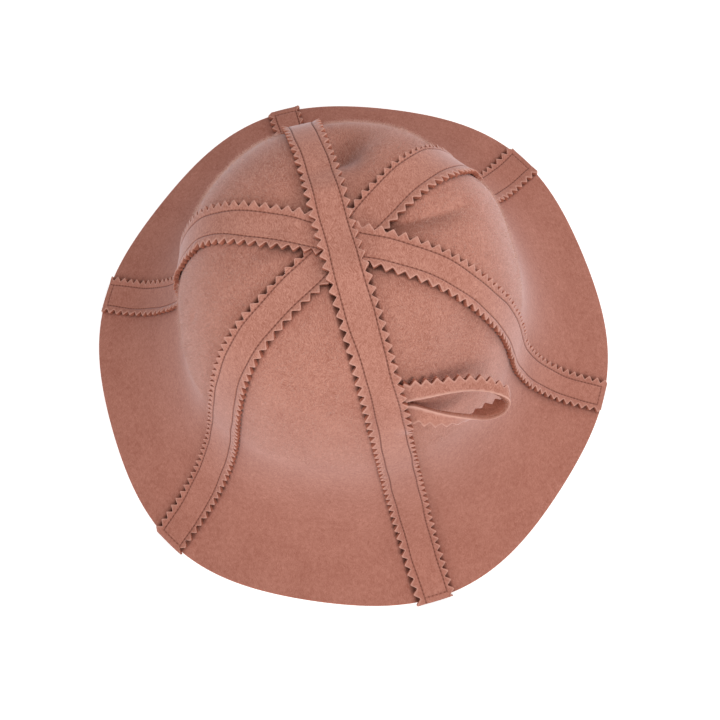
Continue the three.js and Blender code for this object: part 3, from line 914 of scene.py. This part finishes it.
# Places on the loop's straight edge and on its pinked edge, in mm, from the upper leg to the lower.
LOOP_STATIONS = [
    {"straight": (26.5, -77.0, 135.5), "pinked": (25.5, -70.0, 146.5)},
    {"straight": (34.0, -76.5, 135.5), "pinked": (34.0, -69.0, 143.5)},
    {"straight": (45.5, -75.0, 134.0), "pinked": (45.5, -68.0, 140.5)},
    {"straight": (57.5, -74.0, 130.5), "pinked": (57.0, -67.5, 137.0)},
    {"straight": (67.5, -76.0, 128.5), "pinked": (67.5, -68.5, 132.0)},
    {"straight": (74.5, -81.0, 127.0), "pinked": (76.0, -73.0, 122.5)},
    {"straight": (72.5, -85.0, 125.0), "pinked": (71.5, -76.5, 119.0)},
    {"straight": (64.5, -87.5, 124.5), "pinked": (62.0, -79.5, 117.5)},
    {"straight": (53.0, -85.5, 126.0), "pinked": (52.5, -85.5, 116.5)},
    {"straight": (42.0, -83.0, 128.0), "pinked": (41.0, -87.5, 118.5)},
    {"straight": (33.0, -80.0, 129.5), "pinked": (31.0, -86.5, 120.5)},
    {"straight": (27.0, -78.5, 132.5), "pinked": (25.5, -84.5, 121.0)},
]

# The band's section. Down each cut edge from the top to the underside: the inset as a share of the edge's
# rounding, the rise from the felt's middle as a share of its thickness, and the masks. Painted shade
# darkens the notches, the loop's inner face and its straight edge towards that face, and the inner face
# also takes the redder colour of cut felt as painted shade; the paler fuzz and a painted highlight lighten
# the edges.
LOOP_INSET = [1, 0.3, 0, 0, 0.3, 1]
LOOP_RISE = [0.5, 0.45, 0.32, -0.32, -0.45, -0.5]
LOOP_MASKS = {
    "cut": {"pinked": [0, 1, 1, 1, 1, 0.9], "underside": 0.9, "straight": [0, 0.5, 1, 1, 1, 0.9]},
    "worn": {"pinked": [0.6, 0.7, 0, 0, 0.3, 0], "underside": 0, "straight": [1, 1, 0.5, 0, 0.3, 0]},
    "notch": {"pinked": [0, 0.2, 0.6, 1, 1, 0.2], "underside": 0, "straight": [0] * 6},
    "inside": {"pinked": [0] * 5 + [0.15], "underside": 0.15, "straight": [0, 0, 0.2, 0.4, 0.35, 0.15]},
}
LOOP_COLUMNS = np.array([0.2, 0.4, 0.6, 0.8])  # across the top and the underside


def smooth_path(points, share):
    """Places along a smooth curve through the points (centripetal Catmull-Rom)."""
    points = np.asarray(points)
    points = np.concatenate([2 * points[:1] - points[1:2], points, 2 * points[-1:] - points[-2:-1]])
    place = share * (len(points) - 3)
    first = np.minimum(place.astype(int), len(points) - 4)
    a, b, c, d = (points[first + step] for step in range(4))
    ab, bc, cd = (np.sqrt(np.linalg.norm(q - p, axis=1))[:, None] for p, q in ((a, b), (b, c), (c, d)))
    leaving = ((b - a) / ab - (c - a) / (ab + bc) + (c - b) / bc) * bc
    arriving = ((c - b) / bc - (d - b) / (bc + cd) + (d - c) / cd) * bc
    return hermite(b, c, leaving, arriving, (place - first)[:, None])


def round_band(mask):
    """A mask once round the band: its pinked edge, its underside, its straight edge and its top."""
    under = LOOP_COLUMNS * 0 + mask["underside"]
    return np.concatenate([mask["pinked"], under, mask["straight"][::-1], 0 * LOOP_COLUMNS])


def end_place(along):
    """Where one edge of the band is tucked in under the long strip."""
    return strip_point(
        STRIPS["strip_long"], np.array(along * MM), np.array(LOOP_TUCK), LOOP_LIFT + STRIP_FELT / 2)


path = {}
for edge, (upper_end, lower_end) in LOOP_ENDS.items():
    places = [np.array(station[edge]) * MM for station in LOOP_STATIONS]
    path[edge] = [end_place(upper_end), *places, end_place(lower_end)]

fine = np.linspace(0, 1, LOOP_CURVE_STEPS + 1)
pinked_run = distances(smooth_path(path["pinked"], fine))
teeth = round(pinked_run[-1] / LOOP_PITCH)
along = np.linspace(0, pinked_run[-1], teeth * LOOP_STEPS_PER_TOOTH + 1)
share = np.interp(along, pinked_run, fine)
straight_edge = smooth_path(path["straight"], share)
pinked_edge = smooth_path(path["pinked"], share)
across = pinked_edge - straight_edge
width = np.linalg.norm(across, axis=1)[:, None]
across /= width
forward = np.gradient(0.5 * (straight_edge + pinked_edge), axis=0)
face = np.cross(forward, across)
face /= np.linalg.norm(face, axis=1)[:, None]
wave = tooth_wave(0.5 + along / LOOP_PITCH)[:, None]
reach = width - TOOTH_DEPTH * (1 - wave)

inset = np.array(LOOP_INSET) * EDGE_ROUND
rise = np.array(LOOP_RISE) * STRIP_FELT
half_felt = 0.5 * STRIP_FELT + 0 * LOOP_COLUMNS
lateral = np.concatenate([
    reach - inset, reach * LOOP_COLUMNS[::-1], inset[::-1] + 0 * reach, reach * LOOP_COLUMNS], axis=1)
level = np.concatenate([rise, -half_felt, rise[::-1], half_felt])
cut, worn, in_notch, inside_loop = (round_band(mask) for mask in LOOP_MASKS.values())
shaded = np.maximum((1 - wave) * in_notch, inside_loop)
points = straight_edge[:, None] + across[:, None] * lateral[..., None] + face[:, None] * level[:, None]
mesh = closed_sweep(points, {"cut": cut, "worn": worn, "shaded": shaded})
add_piece("felt_hanging_loop", mesh, strip_felt, "hanging_loop")

# ---- Fuzz ----
# Loose ends of wool that stand out of the felt, over the crown and along the pinked edges. Each is a thin
# spike, too small to be seen alone, and together they soften the outline, most at the hat's back.

FUZZ_LENGTH = (1.0, 3.4)  # mm
EDGE_FUZZ_LENGTH = (0.4, 1.4)
FUZZ_RADIUS = 0.04 * MM
FUZZ_ROOT = 0.1 * MM  # how deep an end is rooted in the felt
FUZZ_LIFT = (10, 70)  # degrees by which an end stands up from the felt
FUZZ_RUN = (35 * MM, 150 * MM)
FUZZ_CROWDING = 0.7  # below 1, there is more of it towards the wall than towards the tip
GORE_FUZZ = [5000, 10000, 15000, 15000, 10000, 5000]  # ends over each gore, in their order
STRIP_CLEARANCE = 3.5 * MM  # between the fuzz on the gores and the middle of a strip's teeth
EDGE_FUZZ = 3 / MM  # ends along an edge
EDGE_INSET = 0.2 * MM
EDGE_LEVELS = (0.3, 1)  # shares of the felt's thickness between which a strip's edge has fuzz
LOOP_LEVELS = (-0.45, 0.45)  # and the loop's, from the middle of its felt
EDGE_TANGLE = 0.6  # how far the ends along a strip's edge lean along it
WOOL = {
    "dark": (0.52, 0.27, 0.215, 1), "light": (0.82, 0.58, 0.51, 1), "grain": 1500.0,
    "finish": {"Roughness": 0.9, "Specular IOR Level": 0.15}}
FUZZ_SEED = 5

chance = np.random.default_rng(FUZZ_SEED)


def unit(vectors):
    """Vectors in the same directions, of length 1."""
    return vectors / np.linalg.norm(vectors, axis=-1, keepdims=True)


def fuzz_mesh(lengths, roots, outward, ahead):
    """Tapered ends of wool. outward points away from the felt at each root, and ahead along it."""
    number = len(roots)
    length = chance.uniform(*lengths, (number, 1)) * MM
    lift = np.radians(chance.uniform(*FUZZ_LIFT, (number, 1)))
    along = np.cos(lift) * ahead + np.sin(lift) * outward
    across = np.cross(ahead, outward)
    turn = 2 * pi / 3 * np.arange(3)[:, None]
    ring = np.cos(turn) * across[:, None] + np.sin(turn) * np.cross(along, across)[:, None]
    foot = (roots - FUZZ_ROOT * outward)[:, None] + FUZZ_RADIUS * ring
    tip = (roots + length * along)[:, None]
    spike = np.array([[0, 2, 1], [0, 1, 3], [1, 2, 3], [2, 0, 3]])
    faces = (spike + 4 * np.arange(number)[:, None, None]).reshape(-1, 3)
    mesh = bpy.data.meshes.new("fuzz")
    mesh.from_pydata(np.concatenate([foot, tip], axis=1).reshape(-1, 3), [], faces.tolist())
    return mesh


wool = grained_material("loose_wool", **WOOL)

for (gore, seams), number in zip(GORES.items(), GORE_FUZZ):
    run = FUZZ_RUN[0] + (FUZZ_RUN[1] - FUZZ_RUN[0]) * chance.uniform(0, 1, number) ** FUZZ_CROWDING
    direction, after, before = across_gore(seams, run, chance.uniform(0, 1, number))
    sunk = -seam_sink(np.minimum(after[0], before[0]), run)
    roots = felt_point(direction, run, sunk)
    outward = unit(felt_point(direction, run, sunk + MM) - roots)
    down = unit(felt_point(direction, run + MM, sunk) - roots)
    turn = chance.uniform(0, 2 * pi, (number, 1))
    ahead = np.cos(turn) * down + np.sin(turn) * np.cross(outward, down)
    bare = np.minimum(after[1], before[1]) > STRIP_CLEARANCE
    mesh = fuzz_mesh(FUZZ_LENGTH, roots[bare], outward[bare], ahead[bare])
    add_piece("fuzz_" + gore, mesh, wool)

for name, strip in STRIPS.items():
    rooted = []
    for side, sign in SIGN.items():
        along = chance.uniform(-RUN + END_LINE, RUN - END_LINE, round(2 * RUN * EDGE_FUZZ))
        lateral = sign * (strip_side(name, side, along)["edge"] - EDGE_INSET)
        level = STRIP_FELT * chance.uniform(*EDGE_LEVELS, len(along))
        lift = strip_seat(strip, along, lateral) + level
        roots = strip_point(strip, along, lateral, lift)
        outward = unit(strip_point(strip, along, lateral, lift + MM) - roots)
        ahead = strip_point(strip, along, lateral + sign * MM, lift) - roots
        onward = strip_point(strip, along + MM, lateral, lift) - roots
        lean = chance.normal(0, EDGE_TANGLE, (len(along), 1))
        rooted.append((roots, outward, unit(ahead + lean * onward)))
    mesh = fuzz_mesh(EDGE_FUZZ_LENGTH, *(np.concatenate(part) for part in zip(*rooted)))
    add_piece("fuzz_" + name, mesh, wool)

rooted = []
for edge, sign in ((straight_edge, -1), (straight_edge + across * reach, 1)):
    place = chance.uniform(0, len(edge) - 1, round(pinked_run[-1] * EDGE_FUZZ))
    index = place.astype(int)
    between = (place - index)[:, None]
    roots = edge[index] * (1 - between) + edge[index + 1] * between
    level = STRIP_FELT * chance.uniform(*LOOP_LEVELS, (len(place), 1))
    outward = face[index] * np.where(level > 0, 1, -1)
    rooted.append((roots + level * face[index], outward, sign * across[index]))
mesh = fuzz_mesh(EDGE_FUZZ_LENGTH, *(np.concatenate(part) for part in zip(*rooted)))
add_piece("fuzz_hanging_loop", mesh, wool)
